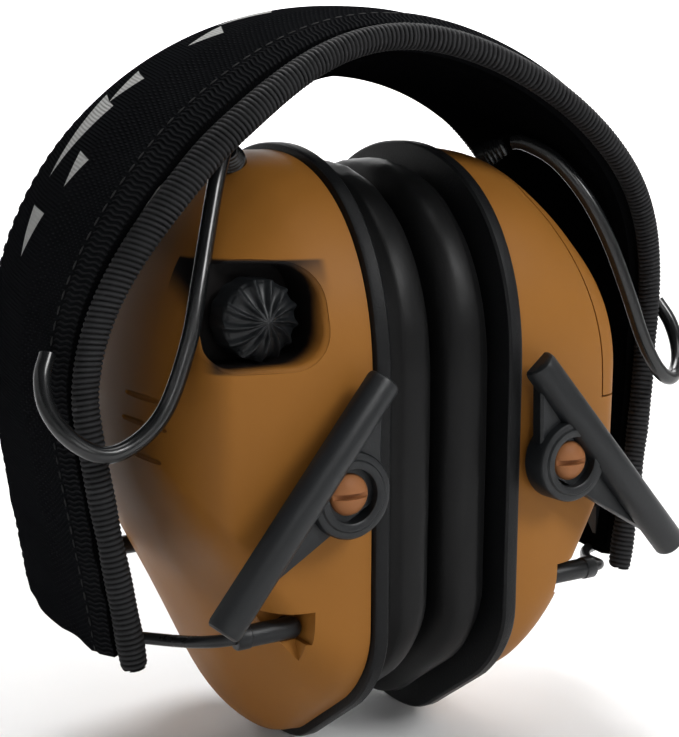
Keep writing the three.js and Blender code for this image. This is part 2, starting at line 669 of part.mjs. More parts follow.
function addSet(parent, prefix, pieces, place) {
  for (const [name, [geometry, material]] of Object.entries(pieces)) {
    add(parent, `${prefix}_${name}`, place(geometry), material);
  }
}

function cupPieces(kind) {
  return {
    cup_shell: [cupShell(kind), TAN],
    rim_plate: [rimPlate(), BLACK_PLASTIC],
    ear_cushion: [earCushion(), BLACK_VINYL],
    foam_liner: [foamLiner(), FOAM_GREY],
    speaker: [speaker(), BLACK_PLASTIC],
    circuit_board: [circuitBoard(), BOARD_GREEN],
    mic_guard: [micGuard(), BLACK_PLASTIC],
    mic_cap: [micCap(), TAN],
    mic_capsule: [micCapsule(), STEEL],
    cable_relief: [cableRelief(), CABLE_BLACK],
  };
}

addSet(product, 'crown', crownPieces(), (geometry) => geometry);
for (const [side, place] of Object.entries(SIDES)) {
  addSet(product, `${side}_band`, bandHalfPieces(), place);
  addSet(product, side, {
    yoke_wire: [yokeWire(), BLACK_WIRE],
    front_sleeve: [wireSleeve(-1), BLACK_PLASTIC],
    rear_sleeve: [wireSleeve(1), BLACK_PLASTIC],
    cable: [cupCable(side), CABLE_BLACK],
  }, place);
  addSet(product, side, cupPieces(side === 'right' ? 'knob' : 'door'), place);
}
add(product, 'volume_knob', mirrorX(volumeKnob()), BLACK_PLASTIC);
add(product, 'volume_potentiometer', mirrorX(potentiometer()), STEEL);
add(product, 'aux_jack', mirrorX(auxJack()), BLACK_PLASTIC);
add(product, 'battery_door', batteryDoor(), TAN);
add(product, 'battery_tray', batteryTray(), BLACK_PLASTIC);
add(product, 'battery_cell_front', batteryCell(0), CELL_GREY);
add(product, 'battery_cell_rear', batteryCell(1), CELL_GREY);
add(product, 'battery_top_contact', contactPlate(1), STEEL);
add(product, 'battery_bottom_contact', contactPlate(-1), STEEL);

product.position.z = -CROWN_Z;

export default product;
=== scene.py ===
import math

import bpy
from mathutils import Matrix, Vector, noise
from mathutils.bvhtree import BVHTree


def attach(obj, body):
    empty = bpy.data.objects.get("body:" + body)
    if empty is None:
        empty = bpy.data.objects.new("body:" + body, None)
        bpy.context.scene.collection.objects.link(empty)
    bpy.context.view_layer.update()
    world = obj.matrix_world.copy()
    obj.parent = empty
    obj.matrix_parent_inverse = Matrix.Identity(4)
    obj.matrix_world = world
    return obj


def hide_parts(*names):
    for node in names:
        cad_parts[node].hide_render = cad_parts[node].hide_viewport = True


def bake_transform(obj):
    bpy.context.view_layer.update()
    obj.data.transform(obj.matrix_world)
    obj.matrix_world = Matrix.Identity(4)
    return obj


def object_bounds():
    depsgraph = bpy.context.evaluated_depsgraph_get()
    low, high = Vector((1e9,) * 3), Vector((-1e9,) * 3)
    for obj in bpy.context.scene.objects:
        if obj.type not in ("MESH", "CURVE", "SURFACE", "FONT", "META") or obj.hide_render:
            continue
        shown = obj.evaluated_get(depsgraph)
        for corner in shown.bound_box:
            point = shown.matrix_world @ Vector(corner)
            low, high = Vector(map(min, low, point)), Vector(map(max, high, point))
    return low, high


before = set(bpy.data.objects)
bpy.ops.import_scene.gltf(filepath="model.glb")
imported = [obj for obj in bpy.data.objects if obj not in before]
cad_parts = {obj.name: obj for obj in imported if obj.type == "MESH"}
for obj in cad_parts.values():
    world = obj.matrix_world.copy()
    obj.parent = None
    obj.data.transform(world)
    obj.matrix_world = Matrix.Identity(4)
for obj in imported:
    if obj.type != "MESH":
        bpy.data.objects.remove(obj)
cad_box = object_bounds()

# Folding electronic ear defenders, shown folded. Dimensions are in millimetres above the
# cup datum, as in the part's source, and mm() turns them into the frame's metres.
CROWN_Z = 58.4
SIDES = {"right": -1, "left": 1}

SEAM = {"half_width": 62.8, "shoulder": 7, "rise": 58, "end_x": 55.8, "end_z": -44}
ARC_SHARE = 0.62
PAD = {"half": 17.9, "outer": 6.3, "inner": 6.6, "widen": 0.13, "thin": 0.45}
# The front edge stands out over the shoulders, and hangs a little inward there.
FRONT_EDGE = {"crown": 4.5, "shoulder": 9.8, "droop": 3}
PIPING = {"y": 20, "radius": 2.3, "pitch": 0.95}
# Plain printed shards: start along the band, length, slant, and reach across the band.
PRINTED_SHARDS = [
    (14, 11, 0.6, -1.0, 5.5), (24, 7, 0.6, -4.0, 0.5), (41, 7, 0.4, -2.5, 2.0),
    (48, 16, 0.4, -2.2, 4.0), (57, 6, 0.4, -6.0, -3.2), (69, 8, 0.25, -3.0, 1.2)]

CUP_DATUM = -4
WALL = 2.0
RIM_X = 16.3
CUP_PROFILE = [
    (16.3, 1, 1, 1), (22, 0.992, 0.995, 0.98), (28, 0.972, 0.96, 0.88), (34.5, 0.945, 0.86, 0.665),
    (39, 0.92, 0.76, 0.5), (42.4, 0.885, 0.665, 0.4), (44.8, 0.79, 0.55, 0.31),
    (47.2, 0.6, 0.4, 0.2), (48.8, 0.36, 0.22, 0.11), (49.4, 0.12, 0.08, 0.04)]
OUTLINE_BEZIERS = [
    ((0, 44.5), (22, 44.5), (38, 30), (38, 5)),
    ((38, 5), (37.9, -10), (37.7, -26), (37.6, -41)),
    ((37.6, -41), (37.3, -46), (34.5, -51.2), (29, -56)),
    ((29, -56), (23.7, -59.9), (18.3, -63.7), (13, -67.6)),
    ((13, -67.6), (9.7, -69.9), (5.3, -71), (0, -71))]

PLATE = {"x0": 12.8, "x1": 16, "grow": 1.028}
EAR = {"half_y": 19, "top": 22, "bottom": -44}
WIRE = {"radius": 1.1, "x": 59, "y": 13.6, "top": 8, "run": -41.6}
PIVOT = {"x": 29.6, "z": -39.2}
SOCKET_Y = 31.4
KNOB = {"x": 34, "z": 16.4, "radius": 7.2, "back": -24.5, "ribs": 13}
MIC = {"x": 24.2, "y": -41.6, "z": -12.8, "ring": 7.8, "recess": 4.8, "dome": 3.7}
BAR = {"top": (16.6, -44, 6.4), "bottom": (49.4, -46, -32.6), "width": 6.4, "depth": 3.6}
STEM_RADIUS = 3.3
RELIEF = {"foot": (28, -8, 42.4), "tip": (31.2, -12.4, 44.8)}
CABLE_RADIUS = 1.5
RELIEF_HOLE = {"radius": 3.1, "door_room": 3.4}
# The door's seam in X and Z: its lower corner, the point it bends toward, and its top.
DOOR_SEAM = ((38.6, -3.6), (38.2, 20), (28.2, 35.4))
DOOR_GAP = 0.4
REAR_HEM_RISE = 0.048
# Where the cloth's coordinates of the band's inner face and of its left half begin.
INNER_FACE = 50
LEFT_HALF = -60
CABLE_ROUTES = {
    "right": [
        (32.1, -13.4, 45.5), (33.2, -15, 44.8), (36.2, -18, 39.6), (39.4, -21, 31.6), (43, -24.8, 23),
        (46.6, -27.6, 13), (51.6, -28.8, 2.4), (57.6, -29.6, -2.6), (63.4, -29.6, -3.8),
        (68, -27.2, -1), (70.2, -23.4, 3.4), (69.8, -20, 8), (68, -18, 11.6)],
    "left": [
        (32.1, -13.4, 45.5), (33.4, -15.4, 45.4), (37, -20.6, 42.2), (41.4, -24.8, 35.4),
        (45.6, -27.6, 26.4), (49.4, -29.4, 16), (53, -30.4, 6.4), (57, -30.6, 0),
        (61.4, -29.8, -2.6), (65.6, -27.4, -0.8), (68.6, -24, 3), (69.4, -20.6, 7.6), (68, -18, 11.6)]}


def mm(x, y, z):
    """A point in the frame, in metres, from millimetres above the cup datum."""
    return Vector((x, y, z - CROWN_Z)) / 1000


# ---- shader maths

def operator(operation, swapped=False):
    """A Value's operator: it adds a Math node, with the two sides swapped where asked."""
    def add_node(value, other):
        return value.look.maths(operation, *((other, value) if swapped else (value, other)))
    return add_node


class Value:
    """A number socket of a material; arithmetic on it adds Math nodes."""

    def __init__(self, look, socket):
        self.look = look
        self.socket = socket

    __add__, __radd__ = operator("ADD"), operator("ADD", True)
    __sub__, __rsub__ = operator("SUBTRACT"), operator("SUBTRACT", True)
    __mul__, __rmul__ = operator("MULTIPLY"), operator("MULTIPLY", True)
    __gt__, __lt__ = operator("GREATER_THAN"), operator("LESS_THAN")


class Look:
    """One material, built node by node round a Principled shader."""

    def __init__(self, name):
        self.material = bpy.data.materials.new(name)
        self.material.use_nodes = True
        self.tree = self.material.node_tree
        self.tree.nodes.clear()

    def node(self, kind, settings=None, **sockets):
        """Adds a node: its settings first, then its sockets, by name, from values or links."""
        made = self.tree.nodes.new(kind)
        for name, setting in (settings or {}).items():
            setattr(made, name, setting)
        for name, given in sockets.items():
            self.feed(made.inputs[name.replace("_", " ")], given)
        return made

    def feed(self, socket, given):
        if isinstance(given, Value):
            given = given.socket
        if isinstance(given, bpy.types.NodeSocket):
            self.tree.links.new(given, socket)
        else:
            socket.default_value = given

    def maths(self, operation, *values):
        made = self.node("ShaderNodeMath", {"operation": operation})
        for socket, given in zip(made.inputs, values):
            self.feed(socket, given)
        return Value(self, made.outputs[0])

    def place(self):
        """Coordinates fixed to the piece, in metres."""
        return self.node("ShaderNodeTexCoord").outputs["Object"]

    def noise(self, scale, detail=3.0, roughness=0.5, stretch=(1, 1, 1)):
        """Smooth noise from 0 to 1; scale is in features per metre."""
        where = self.node("ShaderNodeMapping", Vector=self.place(), Scale=stretch).outputs[0]
        made = self.node(
            "ShaderNodeTexNoise", Vector=where, Scale=scale, Detail=detail, Roughness=roughness)
        return Value(self, made.outputs["Fac"])

    def along_and_across(self):
        """The cloth's own coordinates: millimetres along the band and across it."""
        made = self.node("ShaderNodeUVMap", {"uv_map": "cloth"})
        parts = self.node("ShaderNodeSeparateXYZ", Vector=made.outputs[0])
        return Value(self, parts.outputs["X"]), Value(self, parts.outputs["Y"])

    def wave(self, position, pitch):
        """A sine from 0 to 1 along a position, with that pitch."""
        return self.maths("SINE", position * (2 * math.pi / pitch)) * 0.5 + 0.5

    def ramp(self, position, start, end):
        """0 up to the start, rising smoothly to 1 at the end."""
        made = self.node(
            "ShaderNodeMapRange", {"interpolation_type": "SMOOTHSTEP"},
            Value=position, From_Min=start, From_Max=end)
        return Value(self, made.outputs[0])

    def band_of(self, position, low, high, soft):
        """1 between low and high, fading over soft at each side."""
        rise = self.ramp(position, low - soft, low + soft)
        return rise * (1 - self.ramp(position, high - soft, high + soft))

    def between(self, factor, low, high):
        """low where the factor is 0 and high where it is 1."""
        return factor * (high - low) + low

    def colours(self, factor, first, second):
        """The first colour where the factor is 0 and the second where it is 1."""
        made = self.node("ShaderNodeMix", {"data_type": "RGBA"})
        self.feed(made.inputs[0], factor)
        for socket, colour in ((made.inputs[6], first), (made.inputs[7], second)):
            self.feed(socket, colour if isinstance(colour, bpy.types.NodeSocket) else (*colour, 1))
        return made.outputs[2]

    def finish(self, base, roughness, height=None, depth=0.1, **constants):
        """Ends the material; height is in 0..1, depth is its size in millimetres."""
        shader = self.node("ShaderNodeBsdfPrincipled")
        self.feed(shader.inputs["Base Color"], (*base, 1) if isinstance(base, tuple) else base)
        self.feed(shader.inputs["Roughness"], roughness)
        for name, given in constants.items():
            shader.inputs[name.replace("_", " ")].default_value = given
        if height is not None:
            bump = self.node("ShaderNodeBump", Height=height, Distance=depth / 1000, Strength=1.0)
            self.feed(shader.inputs["Normal"], bump.outputs[0])
        output = self.node("ShaderNodeOutputMaterial")
        self.feed(output.inputs["Surface"], shader.outputs[0])
        return self.material


# ---- materials

def tan_finish(name, base, shadow=None):
    """Soft-touch moulded plastic; shadow is painted shade, from 0 to 1, that darkens the tan to near
    black.
    """
    look = Look(name)
    lighter = tuple(min(1, c * 1.08) for c in base)
    darker = tuple(c * 0.9 for c in base)
    colour = look.colours(look.noise(35, 4), darker, lighter)
    if shadow:
        # painted shade: the colour turns near black where the pocket's shadow mask is 1
        colour = look.colours(shadow(look), colour, (0.006, 0.005, 0.005))
    return look.finish(
        colour, look.between(look.noise(120, 5), 0.46, 0.56), look.noise(2600, 2), 0.012,
        Specular_IOR_Level=0.16)


def pocket_shadow(look):
    """Painted shade in the knob's pocket: the tan darkens to near black from just inside its lip,
    deeper in.
    """
    parts = look.node("ShaderNodeSeparateXYZ", Vector=look.place())
    across, deep, up = (Value(look, parts.outputs[axis]) * 1000 for axis in "XYZ")
    height = up + CROWN_Z
    inside = look.band_of(across, -44, -23.2, 1.0) * look.band_of(height, 8.0, 26.6, 0.3)
    return look.ramp(deep, -36.2, -30.5) * inside * (deep < -15)


def tan_shell():
    return tan_finish("tan_shell", (0.300, 0.122, 0.021), pocket_shadow)


def moulded_black():
    look = Look("moulded_black")
    grain = look.noise(1500, 4, 0.6)
    return look.finish(
        look.colours(look.noise(60, 3), (0.006, 0.007, 0.0082), (0.010, 0.0115, 0.013)),
        look.between(grain, 0.34, 0.48), grain, 0.03, Specular_IOR_Level=0.38)


def rim_black():
    look = Look("rim_black")
    grain = look.noise(2200, 4, 0.65)
    return look.finish(
        look.colours(grain, (0.0035, 0.0038, 0.0042), (0.007, 0.0076, 0.0084)),
        look.between(grain, 0.4, 0.54), grain, 0.07, Specular_IOR_Level=0.2)


def cushion_vinyl():
    look = Look("cushion_vinyl")
    pores = look.noise(2400, 3, 0.6)
    creases = look.noise(170, 5, 0.55, (1.6, 0.7, 0.7))
    height = pores * 0.2 + creases * 0.8
    return look.finish(
        look.colours(look.noise(45, 4), (0.0035, 0.0036, 0.0037), (0.006, 0.0061, 0.0063)),
        look.between(look.noise(90, 4), 0.38, 0.48), height, 0.09, Specular_IOR_Level=0.18)


def band_cloth():
    """Fine ribbed cover cloth, darker knit in the valley, pale printed shards on the panel. Rib
    crests, raised knit and cord turns carry painted highlight over dark gaps, and the inner face is
    painted shade.
    """
    look = Look("band_cloth")
    along, across = look.along_and_across()
    ribs = look.wave(along + 0.25 * across, 0.62)
    threads = look.wave(across, 0.5)
    knit = look.wave(along + across * 0.7, 0.95) * look.wave(along - across * 0.7, 0.95)
    tape = look.band_of(across, -18.5, -14.9, 0.12)
    cord = look.wave(along + look.wave(across, 1.6) * 0.3, PIPING["pitch"])
    valley = look.band_of(across, -14.6, -5.5, 1.2)
    inner = look.band_of(across, INNER_FACE - 26, INNER_FACE + 20, 1)
    cloth = ribs * 0.5 + threads * 0.2 + look.noise(1800, 3) * 0.3
    panel = (1 - valley) * (1 - tape)
    outer = cloth * panel + knit * 0.9 * valley + cord * 1.6 * tape
    height = outer * (1 - inner * 0.85) + cloth * inner * 0.1
    zigzag = across - 0.9 * look.wave(along, 16)
    emboss = look.band_of(zigzag, 10.6, 11.1, 0.18) * (1 - inner)
    height = height - emboss * 1.5
    worn = look.noise(40, 5, 0.6)
    speckle = look.noise(1500, 2, 0.7)
    shade = look.colours(worn, (0.0030, 0.0032, 0.0038), (0.0085, 0.0088, 0.0098))
    # painted highlight and shade: raised knit and cord, and the rib crests below, are lighter while
    # their gaps stay dark
    raised = look.maths("MAXIMUM", (knit - 0.4) * valley * 1.1, (cord - 0.45) * tape * 1.5)
    shade = look.colours(raised * (1 - inner) * speckle, shade, (0.034, 0.034, 0.035))
    shade = look.colours((ribs - 0.5) * panel * 0.6, shade, (0.016, 0.017, 0.018))
    # painted shade: the band's inner face, under the band, is darkened to near black
    shade = look.colours(inner * 0.85, shade, (0.0008, 0.0008, 0.0009))
    shards = 0.0
    for start, length, slant, low, high in PRINTED_SHARDS:
        lean = along + across * slant
        taper = (lean - start) * ((high - low) / (2 * length))
        shard = look.band_of(lean, start, start + length, 0.1)
        shards = shards + shard * ((across - taper) > low) * ((across + taper) < high)
    shards = look.maths("MINIMUM", shards, 1.0) * (1 - inner)
    base = look.colours(shards, shade, (0.40, 0.40, 0.39))
    roughness = look.between(look.maths("MAXIMUM", inner, shards), 0.8, 0.6)
    return look.finish(base, roughness, height, 0.16, Specular_IOR_Level=0.0)


def piping_cord():
    """Wound thread, with painted shade darkening the gaps between the turns to near black."""
    look = Look("piping_cord")
    fibre = look.noise(2500, 3, 0.6)
    turns, _ = look.along_and_across()
    worn = look.colours(look.noise(90, 4), (0.016, 0.016, 0.017), (0.038, 0.038, 0.040))
    crest = look.wave(turns - 0.25, 1.0)
    return look.finish(
        # painted shade: near black in the gaps between turns, the thread's own tone on the crests
        look.colours(look.maths("POWER", crest, 0.8), (0.0015, 0.0015, 0.0016), worn),
        0.66, fibre, 0.08, Specular_IOR_Level=0.12)


def stitch_thread():
    look = Look("stitch_thread")
    return look.finish(
        look.colours(look.noise(500, 2), (0.012, 0.012, 0.012), (0.030, 0.030, 0.030)), 0.7,
        look.noise(5000, 2), 0.03, Specular_IOR_Level=0.25)


def cable_sleeve():
    look = Look("cable_sleeve")
    return look.finish(
        look.colours(look.noise(60, 3), (0.005, 0.0055, 0.006), (0.010, 0.0105, 0.011)),
        look.between(look.noise(300, 4), 0.2, 0.28), look.noise(900, 3), 0.015, Specular_IOR_Level=0.6)


def coated_wire():
    look = Look("coated_wire")
    worn = look.noise(160, 5, 0.6)
    return look.finish(
        look.colours(worn, (0.012, 0.012, 0.013), (0.030, 0.031, 0.032)),
        look.between(worn, 0.22, 0.36), look.noise(1200, 3), 0.015, Metallic=0.35)


def bare_steel():
    look = Look("bare_steel")
    brushed = look.noise(700, 3, 0.5, (1, 12, 1))
    return look.finish(
        look.colours(brushed, (0.42, 0.43, 0.44), (0.62, 0.63, 0.64)),
        look.between(brushed, 0.25, 0.42), brushed, 0.015, Metallic=1.0)


def liner_foam():
    look = Look("liner_foam")
    cells = look.node("ShaderNodeTexVoronoi", Vector=look.place(), Scale=1300.0)
    pores = Value(look, cells.outputs["Distance"])
    return look.finish(
        look.colours(pores, (0.008, 0.008, 0.009), (0.04, 0.04, 0.043)), 0.95, pores, 0.4)


def board_green():
    look = Look("board_green")
    parts = look.node("ShaderNodeSeparateXYZ", Vector=look.place())
    across, up = Value(look, parts.outputs["Y"]), Value(look, parts.outputs["Z"])
    tracks = look.wave(across * 1000 + look.noise(90, 1) * 3, 1.6) > 0.72
    tracks = tracks * (look.wave(up * 1000, 9) > 0.3)
    return look.finish(
        look.colours(tracks, (0.008, 0.06, 0.026), (0.02, 0.13, 0.06)), 0.38, tracks, 0.05)


def cell_wrap():
    look = Look("cell_wrap")
    up = Value(look, look.node("ShaderNodeSeparateXYZ", Vector=look.place()).outputs["Z"])
    collar = look.band_of(up * 1000 + CROWN_Z, 10, 40, 0.2)
    base = look.colours(collar, (0.03, 0.032, 0.036), (0.30, 0.20, 0.09))
    return look.finish(base, 0.3, look.noise(500, 2), 0.01, Metallic=0.4, Coat_Weight=0.4)


def pale_floor():
    look = Look("pale_floor")
    return look.finish(
        look.colours(look.noise(3, 2), (0.90, 0.90, 0.90), (0.93, 0.93, 0.93)), 0.7,
        look.noise(400, 2), 0.02)


# ---- meshes

def skin(rings, ends="capped"):
    """Vertices and faces of a skin over closed rings of equal count; ends says whether its
    two ends are "capped" with fans, left "open" or "joined" to each other."""
    count = len(rings[0])
    vertices = [point for ring in rings for point in ring]
    total = len(vertices)
    faces = []
    for i in range(len(rings) if ends == "joined" else len(rings) - 1):
        for j in range(count):
            a, b = i * count + j, i * count + (j + 1) % count
            faces.append((a, b, (b + count) % total, (a + count) % total))
    if ends == "capped":
        for ring, start in ((rings[0], 0), (rings[-1], (len(rings) - 1) * count)):
            centre = len(vertices)
            vertices.append(sum(ring, Vector()) / count)
            for j in range(count):
                edge = (start + j, start + (j + 1) % count)
                faces.append((*(reversed(edge) if start == 0 else edge), centre))
    return vertices, faces


def face_outward(mesh):
    """Turns every face of a closed mesh to point out."""
    volume = 0
    mesh.calc_loop_triangles()
    for triangle in mesh.loop_triangles:
        a, b, c = (mesh.vertices[i].co for i in triangle.vertices)
        volume += a.dot(b.cross(c))
    if volume < 0:
        mesh.flip_normals()


def build(name, vertices, faces, material, sharp=38):
    """A closed mesh object; edges sharper than that many degrees stay crisp."""
    mesh = bpy.data.meshes.new(name)
    mesh.from_pydata([tuple(v) for v in vertices], [], faces)
    mesh.validate()
    face_outward(mesh)
    mesh.materials.append(material)
    made = bpy.data.objects.new(name, mesh)
    bpy.context.scene.collection.objects.link(made)
    smooth(made, sharp)
    return made


def smooth(piece, sharp=38):
    piece.data.polygons.foreach_set("use_smooth", [True] * len(piece.data.polygons))
    piece.data.set_sharp_from_angle(angle=math.radians(sharp))


def merge(name, parts, material, sharp=38):
    """One object from several lists of vertices and faces."""
    vertices, faces = [], []
    for part_vertices, part_faces in parts:
        start = len(vertices)
        vertices += part_vertices
        faces += [tuple(i + start for i in face) for face in part_faces]
    return build(name, vertices, faces, material, sharp)


def mirror_part(part, side):
    """The part on that side: everything is drawn on the wearer's left."""
    vertices, faces = part
    if side > 0:
        return part
    return [Vector((-p.x, p.y, p.z)) for p in vertices], [tuple(reversed(face)) for face in faces]


def oriented(part):
    """The same closed part with its faces pointing out."""
    vertices, faces = part
    volume = sum(
        vertices[face[0]].dot(vertices[face[i]].cross(vertices[face[i + 1]]))
        for face in faces for i in range(1, len(face) - 1))
    return part if volume > 0 else (vertices, [tuple(reversed(face)) for face in faces])


def circle(centre, first, second, radius, sides):
    """Points round a centre, from the first direction toward the second."""
    return [
        centre + (first * math.cos(a) + second * math.sin(a)) * radius
        for a in (2 * math.pi * k / sides for k in range(sides))]


def between_points(a, b, c, d, t):
    """A point of the Catmull-Rom curve from b to c."""
    return 0.5 * (
        2 * b + (c - a) * t + (2 * a - 5 * b + 4 * c - d) * t ** 2
        + (3 * b - a - 3 * c + d) * t ** 3)


def smooth_path(points, step):
    """A Catmull-Rom line through the points, sampled every step, in the points' own unit."""
    ends = [points[0] * 2 - points[1], *points, points[-1] * 2 - points[-2]]
    line = []
    for a, b, c, d in zip(ends, ends[1:], ends[2:], ends[3:]):
        count = max(2, round((c - b).length / step))
        for i in range(count):
            line.append(between_points(a, b, c, d, i / count))
    return [*line, points[-1]]


def tube(line, radius, sides=16):
    """A round tube along a line; radius is a number or a function of the share of the way."""
    rings = []
    tangent = (line[1] - line[0]).normalized()
    normal = tangent.orthogonal().normalized()
    for i, point in enumerate(line):
        ahead = line[min(i + 1, len(line) - 1)] - line[max(i - 1, 0)]
        turn = tangent.rotation_difference(ahead.normalized())
        normal = turn @ normal
        tangent = ahead.normalized()
        across = tangent.cross(normal)
        share = i / (len(line) - 1)
        r = radius(share) if callable(radius) else radius
        rings.append(circle(point, normal, across, r, sides))
    return oriented(skin(rings))


def tapered(line, radius, end, power, sides):
    """A tube that thins toward both ends, down to that share of its radius."""
    return tube(
        line, lambda share: radius * (end + (1 - end) * math.sin(math.pi * share) ** power), sides)


def lathe(profile, centre, along, sides=64):
    """A turned part from (distance along the axis, radius) pairs in millimetres."""
    axis = Vector(along).normalized()
    normal = axis.orthogonal().normalized()
    across = axis.cross(normal)
    rings = [
        circle(centre + axis * distance / 1000, normal, across, radius / 1000, sides)
        for distance, radius in profile]
    return oriented(skin(rings))


def block(x0, x1, y0, y1, z0, z1):
    corners = [mm(x, y, z) for x in (x0, x1) for y in (y0, y1) for z in (z0, z1)]
    faces = [(0, 1, 3, 2), (4, 6, 7, 5), (0, 4, 5, 1), (2, 3, 7, 6), (0, 2, 6, 4), (1, 5, 7, 3)]
    return oriented((corners, faces))


def prism(outline, y0, y1):
    """An outline in X and Z, pushed along Y."""
    return oriented(skin([[mm(x, y, z) for x, z in outline] for y in (y0, y1)]))


def carve(piece, parts, operation="DIFFERENCE", sharp=30):
    """Cuts the parts out of the piece, or keeps only what is inside them."""
    cutters = []
    for part in parts:
        cutter = build("cutter", *part, piece.data.materials[0])
        modifier = piece.modifiers.new("carve", "BOOLEAN")
        modifier.object = cutter
        modifier.operation = operation
        modifier.solver = "EXACT"
        cutters.append(cutter)
    bpy.context.view_layer.update()
    seen = piece.evaluated_get(bpy.context.evaluated_depsgraph_get())
    mesh = bpy.data.meshes.new_from_object(seen)
    piece.modifiers.clear()
    piece.data = mesh
    for cutter in cutters:
        bpy.data.objects.remove(cutter)
    smooth(piece, sharp)
    return piece


# ---- headband

def bezier(points, t):
    a, b, c, d = (Vector(p) for p in points)
    return a * (1 - t) ** 3 + b * 3 * t * (1 - t) ** 2 + c * 3 * t * t * (1 - t) + d * t ** 3


LOWER_RUN = (
    (SEAM["half_width"], SEAM["shoulder"]), (SEAM["half_width"], SEAM["shoulder"] - 11),
    (SEAM["end_x"] + 2.6, SEAM["end_z"] + 18.5), (SEAM["end_x"], SEAM["end_z"]))


def seam(t):
    """The band's seam line in X and Z, from the crown (0) to the lower end (1)."""
    if t <= ARC_SHARE:
        angle = t / ARC_SHARE * math.pi / 2
        return Vector((
            SEAM["half_width"] * math.sin(angle), SEAM["shoulder"] + SEAM["rise"] * math.cos(angle)))
    return bezier(LOWER_RUN, (t - ARC_SHARE) / (1 - ARC_SHARE))


def seam_outward(t):
    along = (seam(min(1, t + 1e-3)) - seam(max(0, t - 1e-3))).normalized()
    return Vector((-along.y, along.x))


def seam_table(step):
    """Places along the seam line at an even pitch: (t, millimetres from the crown)."""
    table, travelled, last, parts = [(0.0, 0.0)], 0.0, seam(0), 4000
    for i in range(1, parts + 1):
        here = seam(i / parts)
        travelled += (here - last).length
        last = here
        if travelled >= table[-1][1] + step:
            table.append((i / parts, travelled))
    return table


def smooth_step(value, start, end):
    x = min(1, max(0, (value - start) / (end - start)))
    return x * x * (3 - 2 * x)


def low_share(t):
    """0 above the band's middle, rising smoothly to 1 at its lower end."""
    return smooth_step(t, 0.5, 1)


def band_point(t, y, height):
    """A point on the wearer's left half of the band; the rear edge ends higher than the front."""
    share = (y + PIPING["y"]) / (2 * PIPING["y"])
    early = t - REAR_HEM_RISE * share * t ** 6
    place, outward = seam(early), seam_outward(early)
    wide = 1 + PAD["widen"] * low_share(t)
    shoulder, upper = smooth_step(t, 0, 0.28), 1 - smooth_step(t, 0.34, 0.68)
    stand_out = (FRONT_EDGE["crown"] * (1 - shoulder) + FRONT_EDGE["shoulder"] * shoulder) * upper
    front = max(0, -y / PIPING["y"])
    height -= FRONT_EDGE["droop"] * shoulder * upper * front ** 2
    return mm(
        place.x + outward.x * height, y * wide - stand_out * front, place.y + outward.y * height)


def bump(value, middle, half):
    """1 at the middle, falling smoothly to 0 at a distance of half."""
    x = abs(value - middle) / half
    return 0 if x >= 1 else (1 - x * x) ** 2


def crown_rise(y):
    return 1 - 0.7 * abs(y / PAD["half"]) ** 3.6


def cover_outer(y):
    """The outer face's height: edge tape, a soft valley, the padded panel and a rear seam."""
    height = 0.9 + (PAD["outer"] - 0.9) * crown_rise(y)
    height += 0.55 * bump(y, 3, 9.5) + 0.3 * bump(y, -15.4, 2.6)
    height -= 1.15 * bump(y, -9.6, 5.2) + 0.4 * bump(y, -14.7, 0.7) + 0.5 * bump(y, 13.2, 1.0)
    return height


def cover_rings():
    across = 46
    inner_across = 30
    half = PAD["half"]
    rings, coordinates = [], []
    stations = seam_table(1.35)
    for t, travelled in stations:
        ring, row = [], []
        thin = 1 - PAD["thin"] * low_share(t)
        for i in range(across + 1):
            y = -half + 2 * half * i / across
            crease = noise.noise(Vector((travelled * 0.085, y * 0.16, 3))) * 0.5 * low_share(t)
            crease += noise.noise(Vector((travelled * 0.3, y * 0.22, 9))) * 0.42 * low_share(t)
            ring.append(band_point(t, y, cover_outer(y) + crease))
            row.append((travelled, y))
        for i in range(1, inner_across):
            y = half - 2 * half * i / inner_across
            height = -(1.1 + (PAD["inner"] - 1.1) * crown_rise(y)) * thin
            ring.append(band_point(t, y, height))
            row.append((travelled, INNER_FACE + y))
        rings.append(ring)
        coordinates.append(row)
    for shrink, back in ((0.9, 0.15), (0.55, -0.2)):
        last = rings[len(stations) - 1]
        centre = sum(last, Vector()) / len(last)
        drop = Vector((0, 0, -back / 1000))
        rings.append([centre + (p - centre) * shrink + drop for p in last])
        coordinates.append(coordinates[-1])
    return rings, coordinates


def lay_cloth(piece, places):
    """Gives each vertex its place along and across the cloth, in millimetres or turns of thread."""
    layer = piece.data.uv_layers.new(name="cloth")
    for loop in piece.data.loops:
        layer.data[loop.index].uv = places[loop.vertex_index]


def band_cover(side_name, material):
    side = SIDES[side_name]
    rings, coordinates = cover_rings()
    vertices, faces = mirror_part(skin(rings), side)
    cover = build(f"{side_name}_band_cover", vertices, faces, material, 60)
    flat = [place for row in coordinates for place in row] + [coordinates[0][0], coordinates[-1][0]]
    lay_cloth(cover, [(along if side < 0 else LEFT_HALF - along, across) for along, across in flat])
    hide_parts(f"{side_name}_band_outer_pad", f"{side_name}_band_inner_pad",
                "crown_outer_pad", "crown_inner_pad")
    over_hinge(cover)


def over_hinge(piece):
    """Bakes the piece's placement into its mesh; it does not bend over the joint between the crown and
    this half.
    """
    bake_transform(piece)


